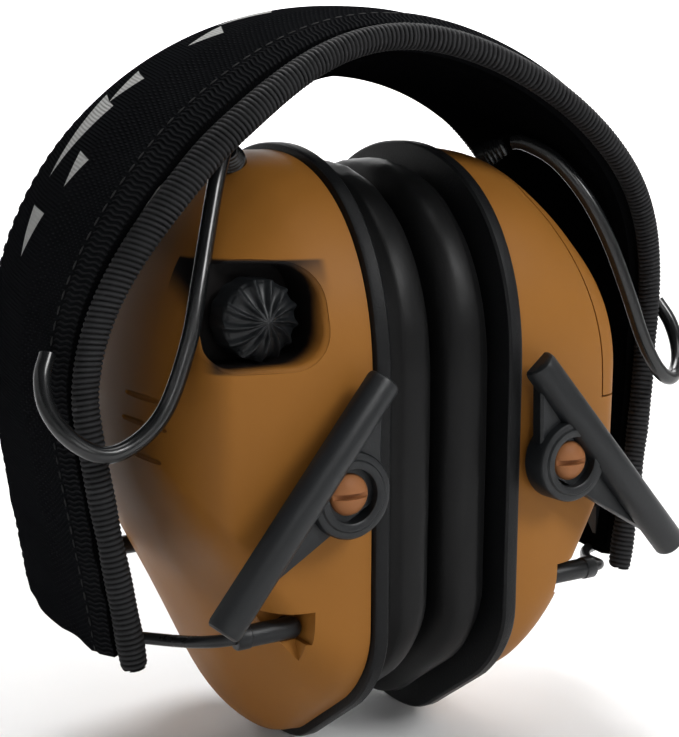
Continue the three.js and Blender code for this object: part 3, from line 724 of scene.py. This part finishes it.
def piping(side_name, edge, material):
    """A corded edge: thread wound round a core, at a slant."""
    side = SIDES[side_name]
    sides = 16
    rings, turns = [], []
    for t, travelled in seam_table(PIPING["pitch"] / 6):
        ring = []
        loose = noise.noise(Vector((travelled * 0.11, edge * 5, 1))) * 0.35 * low_share(t)
        for k in range(sides):
            angle = 2 * math.pi * k / sides
            turn = travelled / PIPING["pitch"] + 0.18 * math.cos(angle)
            rib = abs(math.sin(math.pi * turn)) ** 0.6
            radius = PIPING["radius"] * (0.9 + 0.16 * rib) + loose
            ring.append(band_point(
                t, edge * (PIPING["y"] + radius * math.cos(angle) * 0.82), radius * math.sin(angle)))
            turns.append((turn, angle))
        rings.append(ring)
    where = "front" if edge < 0 else "rear"
    made = build(f"{side_name}_{where}_piping", *mirror_part(skin(rings), side), material, 80)
    lay_cloth(made, turns + [turns[0], turns[-1]])
    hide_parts(f"{side_name}_band_{where}_piping", f"crown_{where}_piping")
    over_hinge(made)


def stitch(start, end, radius):
    """One visible stitch: a thread that dips into the cloth at both ends."""
    line = [start.lerp(end, i / 6) for i in range(7)]
    return tapered(line, radius, 0.25, 0.5, 6)


def stitching(side_name, material):
    side = SIDES[side_name]
    stitch_share, parts = 0.0105, []
    for y in (-14.5, 14.2):
        for t, travelled in seam_table(2.5)[:-1]:
            height = cover_outer(y) + 0.05
            start = band_point(t, y, height)
            end = band_point(min(1, t + stitch_share), y, height)
            parts.append(mirror_part(stitch(start, end, 0.00017), side))
    made = merge(f"{side_name}_band_stitching", parts, material)
    over_hinge(made)


def headband():
    cloth, cord, thread = band_cloth(), piping_cord(), stitch_thread()
    for side_name in SIDES:
        band_cover(side_name, cloth)
        for edge in (-1, 1):
            piping(side_name, edge, cord)
        stitching(side_name, thread)


# ---- wires and cables

def yoke_wire(side_name, material):
    x, y, top, run = WIRE["x"], WIRE["y"], WIRE["top"], WIRE["run"]
    front = [
        (x, -y + 4, top), (x, -y, top - 4), (x, -y, -16), (x, -y, run + 5),
        (x - 2, -y - 0.6, run + 0.6), (x - 7, -y - 2.6, run), (x - 11, -y - 7.4, run + 0.2),
        (x - 13.6, -SOCKET_Y + 4.8, run + 1.2), (PIVOT["x"] + 13, -SOCKET_Y + 0.4, PIVOT["z"] - 0.1),
        (PIVOT["x"] + 9, -SOCKET_Y, PIVOT["z"]), (PIVOT["x"] + 5, -SOCKET_Y, PIVOT["z"])]
    points = [mm(px, -py, pz) for px, py, pz in reversed(front)] + [mm(*p) for p in front]
    part = tube(smooth_path(points, 0.001), WIRE["radius"] / 1000, 16)
    made = build(f"{side_name}_bent_wire", *mirror_part(part, SIDES[side_name]), material)
    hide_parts(f"{side_name}_yoke_wire")
    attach(made, f"{side_name}_yoke")


def wire_sleeves(side_name, material):
    """Rounded end pieces on the wire, with a collar at the mouth and a pin into the cup."""
    side = SIDES[side_name]
    for where, sign in (("front", -1), ("rear", 1)):
        x, y, z = PIVOT["x"], sign * SOCKET_Y, PIVOT["z"]
        profile = [
            (-2.0, 0.4), (-1.9, 1.1), (-1.4, 1.7), (-0.6, 2.0), (8.2, 2.0), (8.4, 2.2),
            (10.6, 2.2), (10.9, 2.0), (11, 1.6), (10.9, 1.2)]
        parts = [
            lathe(profile, mm(x, y, z), (1, 0, 0), 40),
            lathe([(0, 1.6), (6.3, 1.6), (6.5, 1.4)], mm(x, y - sign * 1.5, z), (0, -sign, 0), 24)]
        made = merge(f"{side_name}_{where}_wire_end", [mirror_part(p, side) for p in parts], material)
        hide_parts(f"{side_name}_{where}_sleeve")
        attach(made, f"{side_name}_yoke")


def cup_cable(side_name, material):
    """The cable from cup to band, in two lengths that meet where the yoke carries it."""
    side = SIDES[side_name]
    points = [mm(side * x, y, z) for x, y, z in CABLE_ROUTES[side_name]]
    line = smooth_path(points, 0.0012)
    meet = len(line) // 2
    runs = {
        "upper": (line[:meet + 1], f"{side_name}_cup", f"{side_name}_yoke", f"{side_name}_cable"),
        "lower": (line[meet:], f"{side_name}_yoke", f"{side_name}_band_half", None)}
    for name, (path, first, second, stands_for) in runs.items():
        made = build(f"{side_name}_cable_{name}", *tube(path, CABLE_RADIUS / 1000, 20), material)
        if stands_for:
            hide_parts(stands_for)
        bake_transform(made)


def cable_relief(side_name, material):
    """A tapered boot with grip rings, where the cable leaves the cup."""
    foot, tip = mm(*RELIEF["foot"]), mm(*RELIEF["tip"])
    length = (tip - foot).length * 1000
    profile = [(0, 2.8)]
    for i in range(4):
        at = length * (0.3 + 0.16 * i)
        radius = 2.75 - 0.2 * i
        profile += [
            (at, radius), (at + 0.25, radius - 0.3), (at + 0.6, radius - 0.3),
            (at + 0.8, radius - 0.1)]
    profile += [(length - 0.2, 1.95), (length, 1.7)]
    part = lathe(profile, foot, tip - foot, 32)
    made = build(f"{side_name}_cable_boot", *mirror_part(part, SIDES[side_name]), material)
    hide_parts(f"{side_name}_cable_relief")
    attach(made, f"{side_name}_cup")


# ---- ear cups

def half_outline(count):
    """Points down the front edge of the cup, as (distance from the middle, height)."""
    line = [bezier(curve, i / 40) for curve in OUTLINE_BEZIERS for i in range(40)]
    line.append(Vector(OUTLINE_BEZIERS[-1][-1]))
    lengths = [0]
    for a, b in zip(line, line[1:]):
        lengths.append(lengths[-1] + (b - a).length)
    points, at = [], 0
    for k in range(count + 1):
        target = lengths[-1] * k / count
        while at < len(line) - 2 and lengths[at + 1] < target:
            at += 1
        share = (target - lengths[at]) / (lengths[at + 1] - lengths[at])
        points.append(line[at].lerp(line[at + 1], share))
    return points


HALF = half_outline(80)
OUTLINE = [(p.x, p.y) for p in HALF] + [(-p.x, p.y) for p in reversed(HALF[1:-1])]


def scaled_outline(wide, up=None, down=None):
    """The cup's outline, scaled about its datum; one number scales it evenly."""
    up, down = up or wide, down or wide
    return [(y * wide, CUP_DATUM + (z - CUP_DATUM) * (up if z > CUP_DATUM else down))
            for y, z in OUTLINE]


def profile_rows(steps=6):
    """The cup's profile, filled in smoothly between its rows."""
    rows = [Vector(row) for row in CUP_PROFILE]
    ends = [rows[0] * 2 - rows[1], *rows, rows[-1] * 2 - rows[-2]]
    filled = []
    for a, b, c, d in zip(ends, ends[1:], ends[2:], ends[3:]):
        for i in range(steps):
            filled.append(between_points(a, b, c, d, i / steps))
    return [*filled, rows[-1]]


def cup_solid(wall=0.0):
    """The cup's outer form, or the hollow inside it when a wall is given."""
    depth = (CUP_PROFILE[-1][0] - RIM_X - wall) / (CUP_PROFILE[-1][0] - RIM_X)
    shrink = 1 - wall / 38
    rings = []
    if wall:
        rings.append([mm(RIM_X - 2, y, z) for y, z in scaled_outline(shrink)])
    for x, wide, up, down in profile_rows():
        outline = scaled_outline(wide * shrink, up * shrink, down * shrink)
        rings.append([mm(RIM_X + (x - RIM_X) * depth, y, z) for y, z in outline])
    return oriented(skin(rings))


def wire_pocket(sign, grow=0.0):
    floor = sign * (SOCKET_Y - 2.3 - grow)
    low, high = sorted((sign * 45, floor))
    return block(PIVOT["x"] - 2.4 - grow, PIVOT["x"] + 34, low, high,
                 PIVOT["z"] - 2.4 - grow, PIVOT["z"] + 4 + grow)


def facet_recess(sign, grow=0.0):
    x0, x1 = PIVOT["x"] - 1.4 - grow, PIVOT["x"] + 34
    rings = []
    for z, depth in ((PIVOT["z"], SOCKET_Y - 1 - grow), (PIVOT["z"] - 19 - grow, 36.5 - grow)):
        rings.append([mm(x, sign * y, z) for x, y in ((x0, 46), (x1, 46), (x1, depth), (x0, depth))])
    return oriented(skin(rings))


def rounded_corner(centre, radius, start, steps=8):
    return [(centre[0] + radius * math.cos(a), centre[1] + radius * math.sin(a))
            for a in (start + math.pi / 2 * i / steps for i in range(steps + 1))]


def knob_pocket_wall():
    x0, z0, z1, r = 23.6, 8.6, 27.6, 6.5
    outline = [(64, z0 - WALL), (64, z1 + WALL)]
    outline += rounded_corner((x0 + r, z1 - r), r + WALL, math.pi / 2)
    outline += rounded_corner((x0 + r, z0 + r), r + WALL, math.pi)
    return prism(outline, -60, KNOB["back"] + 2 + WALL)


def knob_pocket():
    """The slot round the knob, cut from the front; its mouth is rounded over into the shell."""
    x0, x1, z0, z1, corner, lip, steps = 24.8, 44.0, 8.8, 25.8, 6.2, 1.5, 6
    surface = BVHTree.FromPolygons(*cup_solid())
    floor = KNOB["back"] + 2

    def ring(offset, depth, least):
        r = corner + offset
        tight = corner / 2 + offset
        outline = rounded_corner((x1 - corner / 2, z0 + corner / 2), tight, -math.pi / 2)
        outline += rounded_corner((x1 - corner / 2, z1 - corner / 2), tight, 0)
        outline += rounded_corner((x0 + corner, z1 - corner), r, math.pi / 2)
        outline += rounded_corner((x0 + corner, z0 + corner), r, math.pi)
        points = []
        for x, z in outline:
            hit = surface.ray_cast(mm(x, -90, z), Vector((0, 1, 0)))[0]
            front = hit.y * 1000 if hit else floor
            points.append(mm(x, min(front + depth, floor - least), z))
        return points

    rings = [ring(0, 99, 0)]
    for i in range(steps):
        turn = math.radians(62) * i / (steps - 1)
        rings.append(ring(lip * (1 - math.cos(turn)), lip * (1 - math.sin(turn)), 0.04 * (i + 1)))
    rings.append(ring(lip * 0.9, -6, 1))
    return oriented(skin(rings))


def face_grooves():
    """Three level grooves pressed into the outer face, toward its front."""
    surface = BVHTree.FromPolygons(*cup_solid())
    grooves = []
    for z, start, end in ((1.6, -21.5, -6), (-3.2, -20.5, -4.5), (-9.4, -18.5, -3)):
        line = []
        for i in range(25):
            y = start + (end - start) * i / 24
            line.append(surface.ray_cast(mm(90, y, z), Vector((-1, 0, 0)))[0])
        grooves.append(tapered(line, 0.00062, 0.4, 0.3, 12))
    return grooves


def door_region(offset):
    """The part of the cup outside the door's seam."""
    (x0, z0), (x1, z1), (x2, z2) = DOOR_SEAM
    outline = [(x0 + offset, z0 + offset)]
    for i in range(1, 13):
        t = i / 12
        outline.append((
            (1 - t) ** 2 * x0 + 2 * t * (1 - t) * x1 + t * t * x2 + offset,
            (1 - t) ** 2 * z0 + 2 * t * (1 - t) * z1 + t * t * z2))
    outline += [(26.5 + offset, 60), (70, 60), (70, z0 + offset)]
    return prism(outline, -60, 60)


def stem_hole():
    return lathe([(0, STEM_RADIUS), (40, STEM_RADIUS)], mm(MIC["x"], -20, MIC["z"]), (0, -1, 0), 40)


def relief_hole(inward=0.0):
    radius = RELIEF_HOLE["radius"]
    foot, tip = (mm(*RELIEF[end]) - mm(inward, 0, 0) for end in ("foot", "tip"))
    return lathe([(-1, radius), ((tip - foot).length * 1000, radius)], foot, tip - foot, 32)


def jack_hole():
    return lathe([(0, 3.5), (40, 3.5)], mm(28, 20, 16), (0, 1, 0), 40)


def cup_hollow(side_name, material):
    """The space inside the shell, with walls left round the pockets."""
    walls = [make(sign, WALL) for make in (wire_pocket, facet_recess) for sign in (-1, 1)]
    if side_name == "right":
        walls.append(knob_pocket_wall())
    hollow = carve(build("hollow", *cup_solid(WALL), material), walls)
    vertices = [v.co.copy() for v in hollow.data.vertices]
    faces = [tuple(p.vertices) for p in hollow.data.polygons]
    bpy.data.objects.remove(hollow)
    return vertices, faces


def cup_shell(side_name, material):
    side = SIDES[side_name]
    cuts = [cup_hollow(side_name, material), stem_hole(), relief_hole()]
    for sign in (-1, 1):
        cuts += [wire_pocket(sign), facet_recess(sign)]
    if side_name == "right":
        cuts += [knob_pocket(), jack_hole(), *face_grooves()]
    else:
        cuts.append(door_region(0))
    shell = build(f"{side_name}_shell", *mirror_part(cup_solid(), side), material)
    carve(shell, [mirror_part(part, side) for part in cuts], sharp=22)
    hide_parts(f"{side_name}_cup_shell")
    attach(shell, f"{side_name}_cup")


def battery_door(material):
    door = build("battery_door_cover", *cup_solid(), material)
    carve(door, [cup_solid(WALL), relief_hole(), relief_hole(RELIEF_HOLE["door_room"])])
    carve(door, [door_region(DOOR_GAP)], "INTERSECT")
    x, z = DOOR_SEAM[0]
    carve(door, [block(x, x + 4.8, -5, 5, z - 2.4, z + 2)])
    ribs = []
    for z in (1.5, 5.5, 9.5):
        line = [mm(48.9 - 0.012 * y * y, y, z) for y in range(-9, 10)]
        ribs.append(tapered(line, 0.0009, 0.3, 0.5, 12))
    grips = merge("battery_door_grips", ribs, material)
    for piece in (door, grips):
        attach(piece, "door")
    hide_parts("battery_door")


def ellipse_towards(points, grow):
    """For each outline point, the point of the ear opening's edge in the same direction."""
    middle = (EAR["top"] + EAR["bottom"]) / 2
    tall = (EAR["top"] - EAR["bottom"]) / 2 + grow
    wide = EAR["half_y"] + grow
    inner = []
    for y, z in points:
        angle = math.atan2((z - middle) / tall, y / wide)
        inner.append((wide * math.cos(angle), middle + tall * math.sin(angle)))
    return inner


def ring_part(outer, inner, section):
    """A closed ring between two outlines; section holds (x, share from inner to outer)."""
    rings = []
    for (oy, oz), (iy, iz) in zip(outer, inner):
        rings.append([mm(x, iy + (oy - iy) * share, iz + (oz - iz) * share) for x, share in section])
    return oriented(skin(rings, "joined"))


def rim_plate(side_name, material):
    x0, x1 = PLATE["x0"], PLATE["x1"]
    outer = scaled_outline(PLATE["grow"])
    inner = ellipse_towards(outer, 3)
    section = [
        (x0, 0), (x0, 0.955), (x0 + 0.15, 0.982), (x0 + 0.6, 1), (x1 - 0.7, 1), (x1 - 0.2, 0.988),
        (x1, 0.965), (x1, 0)]
    part = ring_part(outer, inner, section)
    made = build(f"{side_name}_rim", *mirror_part(part, SIDES[side_name]), material, 30)
    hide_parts(f"{side_name}_rim_plate")
    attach(made, f"{side_name}_cup")


def ear_cushion(side_name, material):
    """A foam ring under thin vinyl: full and crowned, with the cover drawn in along its seam."""
    outer = scaled_outline(0.957)
    inner = ellipse_towards(outer, 0)
    turns = 44
    section = []
    for k in range(turns):
        angle = 2 * math.pi * k / turns
        c, s = math.cos(angle), math.sin(angle)
        x = 6.4 - 6.1 * math.copysign(abs(c) ** 0.72, c)
        section.append((x, 0.5 + 0.5 * math.copysign(abs(s) ** 0.72, s)))
    vertices, faces = ring_part(outer, inner, section)
    shaped = []
    for i, p in enumerate(vertices):
        y, z = p.y * 1000, p.z * 1000 + CROWN_Z
        share = section[i % turns][1]
        x = p.x * 1000
        seam_line = 0.55 * bump(x, 9.6, 0.8) * max(0, share - 0.5) * 2
        wrinkle = noise.noise(Vector((x * 0.3, y * 0.12, z * 0.12))) * 0.3
        wrinkle += 0.5 * bump(z, 40, 14) * noise.noise(Vector((x * 0.55, y * 0.3, z * 0.15)))
        pull = 1 - (seam_line + wrinkle * max(0, share - 0.4)) / 40
        lean = max(0, PIVOT["z"] - z) * 0.06 if x < 6 else 0
        shaped.append(mm(max(x, 0.3) + lean, y * pull, (z - CUP_DATUM) * pull + CUP_DATUM))
    made = build(f"{side_name}_cushion", *mirror_part((shaped, faces), SIDES[side_name]), material, 70)
    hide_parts(f"{side_name}_ear_cushion")
    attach(made, f"{side_name}_cup")


# ---- microphone guard

def guard_bar():
    top, bottom = mm(*BAR["top"]), mm(*BAR["bottom"])
    along = (bottom - top).normalized()
    across = Vector((0, 1, 0)).cross(along).normalized()
    facing = along.cross(across).normalized()
    length = (bottom - top).length
    if facing.y > 0:
        facing = -facing
    half = BAR["width"] / 2000
    rings = []
    for share, size in ((0, 0.8), (0.006, 0.93), (0.02, 1), (0.98, 1), (0.994, 0.93), (1, 0.8)):
        centre = top + along * length * share + Vector((0, 0.0022, 0))
        ring = []
        for k in range(25):
            angle = math.pi * k / 24
            ring.append(centre + across * half * size * math.cos(angle)
                        + facing * BAR["depth"] / 1000 * size * math.sin(angle) ** 0.85)
        rings.append(ring)
    return oriented(skin(rings))


def guard_web():
    """The flat web between bar and ring, with a crease down its middle."""
    outline = [
        (BAR["top"][0] + 0.5, BAR["top"][2] - 1), (BAR["bottom"][0] - 1, BAR["bottom"][2] + 0.5),
        (MIC["x"] + 3, MIC["z"] - MIC["ring"] + 1.2), (MIC["x"] - MIC["ring"] + 1.2, MIC["z"] - 1)]
    middle = (sum(x for x, _ in outline) / 4, sum(z for _, z in outline) / 4)
    rings = []
    for y, size in ((1.4, 0.97), (1.1, 1), (-1.0, 1), (-1.4, 0.95), (-1.15, 0.55), (-1.15, 0.5)):
        rings.append([
            mm(middle[0] + (x - middle[0]) * size, MIC["y"] + y, middle[1] + (z - middle[1]) * size)
            for x, z in outline])
    return oriented(skin(rings))


def mic_guard(side_name, material):
    ring, recess = MIC["ring"], MIC["recess"]
    seat = mm(MIC["x"], MIC["y"], MIC["z"])
    collar = [
        (-2.4, 2.9), (-2.4, ring - 0.5), (-2.0, ring), (2.3, ring - 0.1), (2.7, ring - 0.35),
        (2.9, ring - 0.8), (2.85, recess + 1.6), (3.2, recess + 1.3), (3.2, recess + 0.3),
        (3.0, recess), (0.2, recess), (0.2, 0.8)]
    parts = [
        guard_bar(), guard_web(), lathe(collar, seat, (0, -1, 0), 72),
        lathe([(-8.6, 2.9), (-2.0, 2.9)], seat, (0, -1, 0), 36)]
    side = SIDES[side_name]
    made = merge(f"{side_name}_wind_guard", [mirror_part(p, side) for p in parts], material, 34)
    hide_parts(f"{side_name}_mic_guard")
    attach(made, f"{side_name}_cup")


def mic_cap(side_name, material):
    base = mm(MIC["x"], MIC["y"] - 0.5, MIC["z"])
    dome = MIC["dome"]
    profile = [
        (0, dome * 0.98), (0.9, dome), (1.3, dome * 0.96), (1.9, dome * 0.8),
        (2.4, dome * 0.55), (2.7, dome * 0.3), (2.8, dome * 0.08)]
    side = SIDES[side_name]
    button = lathe(profile, base, (0, -1, 0), 56)
    made = build(f"{side_name}_slotted_cap", *mirror_part(button, side), material)
    slot = block(
        MIC["x"] - 6, MIC["x"] + 6, MIC["y"] - 6, MIC["y"] - 1.9, MIC["z"] - 0.5, MIC["z"] + 0.5)
    carve(made, [mirror_part(slot, side)])
    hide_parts(f"{side_name}_mic_cap")
    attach(made, f"{side_name}_cup")


# ---- volume knob

def volume_knob(material):
    """A domed knob whose raised ribs swirl out from the middle and run down its side."""
    radius, ribs, twist = KNOB["radius"], KNOB["ribs"], 0.16
    dome_steps, sides = 30, ribs * 16
    rings = []

    def point(angle, r, height):
        return mm(
            -KNOB["x"] + r * math.cos(angle), KNOB["back"] - height, KNOB["z"] + r * math.sin(angle))

    for k in range(dome_steps):
        share = k / (dome_steps - 1)
        ring = []
        for j in range(sides):
            angle = 2 * math.pi * j / sides
            ridge = 0.5 + 0.5 * math.cos(ribs * (angle + twist * share * share))
            ridge = ridge ** 2.2 * min(1, share * 2.6)
            r = radius * share * (0.965 + 0.035 * ridge if share > 0.9 else 1)
            height = 8.6 - 2.6 * share ** 2.6 - 1.1 * (1 - ridge) * min(1, share * 2.4)
            ring.append(point(angle, r, height))
        rings.append(ring)
    for height in (4.2, 2.5, 0.6, 0):
        rings.append([
            point(angle, radius * (0.9825 + 0.0175 * math.cos(ribs * (angle + twist))), height)
            for angle in (2 * math.pi * j / sides for j in range(sides))])
    head = oriented(skin(rings[1:]))
    shaft = lathe([(-11.5, 1.5), (1, 1.5)], mm(-KNOB["x"], KNOB["back"], KNOB["z"]), (0, -1, 0), 24)
    made = merge("volume_knob_cap", [head, shaft], material, 50)
    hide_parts("volume_knob")
    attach(made, "knob")


# ---- studio

def softbox(name, place, size, power, target):
    light = bpy.data.lights.new(name, "AREA")
    light.shape = "DISK"
    light.size = size
    light.energy = power
    lamp = bpy.data.objects.new(name, light)
    lamp.location = place
    lamp.rotation_euler = (Vector(target) - Vector(place)).to_track_quat("-Z", "Y").to_euler()
    bpy.context.scene.collection.objects.link(lamp)


def studio():
    """A round pale floor that curves up into a wall, and soft lights."""
    low = cad_box[0][2] - 0.0004
    wall, bend, top, sides = 2.6, 0.7, 2.2, 96
    profile = [(0.001, low), (0.4, low)]
    for i in range(13):
        angle = math.pi / 2 * i / 12
        profile.append((wall - bend + bend * math.sin(angle), low + bend - bend * math.cos(angle)))
    profile.append((wall, top))
    rings = [
        circle(Vector((0, 0, z)), Vector((1, 0, 0)), Vector((0, 1, 0)), r, sides)
        for r, z in profile]
    vertices, faces = skin(rings, "open")
    mesh = bpy.data.meshes.new("studio_floor")
    mesh.from_pydata([tuple(v) for v in vertices], [], faces)
    mesh.materials.append(pale_floor())
    floor = bpy.data.objects.new("studio_floor", mesh)
    bpy.context.scene.collection.objects.link(floor)
    smooth(floor)
    target = (0, 0, -0.055)
    softbox("key_light", (0.45, -0.95, 0.75), 0.45, 8.5, target)
    softbox("fill_light", (-0.35, -1.0, 0.35), 0.3, 0.7, target)
    softbox("top_light", (0.1, -0.1, 1.0), 0.4, 1.6, target)
    softbox("rear_light", (0.8, 0.3, 0.5), 0.3, 1.5, target)
    softbox("wall_light", (0.9, 1.2, 1.0), 1.0, 36, (1.3, 2.4, 0.2))
    softbox("floor_light", (0.3, 0.45, 0.7), 0.5, 8, (0.3, 0.45, -0.13))
    world = bpy.data.worlds.new("studio_air")
    world.use_nodes = True
    world.node_tree.nodes["Background"].inputs["Color"].default_value = (1, 1, 1, 1)
    world.node_tree.nodes["Background"].inputs["Strength"].default_value = 0.04
    bpy.context.scene.world = world
    bpy.context.scene.view_settings.view_transform = "Standard"


def camera():
    """Level, looking a little down on the wearer's front right."""
    azimuth, elevation = math.radians(-31), math.radians(10)
    distance, lens = 0.3, 72.5373
    back = Vector((
        math.sin(azimuth) * math.cos(elevation), -math.cos(azimuth) * math.cos(elevation),
        math.sin(elevation)))
    right = Vector((math.cos(azimuth), math.sin(azimuth), 0))
    data = bpy.data.cameras.new("studio_camera")
    data.sensor_width = 36
    data.lens = lens
    made = bpy.data.objects.new("studio_camera", data)
    made.location = back * distance - right * 0.0002 - Vector((0, 0, 0.058))
    made.rotation_euler = back.to_track_quat("Z", "Y").to_euler()
    bpy.context.scene.collection.objects.link(made)
    bpy.context.scene.camera = made


def repaint(material, *nodes):
    """Gives CAD nodes that stay in view a finished material."""
    for node in nodes:
        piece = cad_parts[node]
        piece.data.materials.clear()
        piece.data.materials.append(material)


camera()
studio()
shell_tan, black, vinyl = tan_shell(), moulded_black(), cushion_vinyl()
cap_tan = tan_finish("cap_tan", (0.30, 0.122, 0.047))
rim, sleeve, wire = rim_black(), cable_sleeve(), coated_wire()
steel, foam, green, wrap = bare_steel(), liner_foam(), board_green(), cell_wrap()
headband()
for name in SIDES:
    yoke_wire(name, wire)
    wire_sleeves(name, black)
    cup_cable(name, sleeve)
    cable_relief(name, sleeve)
    cup_shell(name, shell_tan)
    rim_plate(name, rim)
    ear_cushion(name, vinyl)
    mic_guard(name, black)
    mic_cap(name, cap_tan)
    repaint(foam, f"{name}_foam_liner")
    repaint(black, f"{name}_speaker", f"{name}_band_end_guide")
    repaint(green, f"{name}_circuit_board")
    repaint(steel, f"{name}_mic_capsule", f"{name}_band_spring_strip")
volume_knob(black)
battery_door(shell_tan)
repaint(steel, "crown_spring_strip", "volume_potentiometer")
repaint(steel, "battery_top_contact", "battery_bottom_contact")
repaint(black, "aux_jack", "battery_tray")
repaint(wrap, "battery_cell_front", "battery_cell_rear")
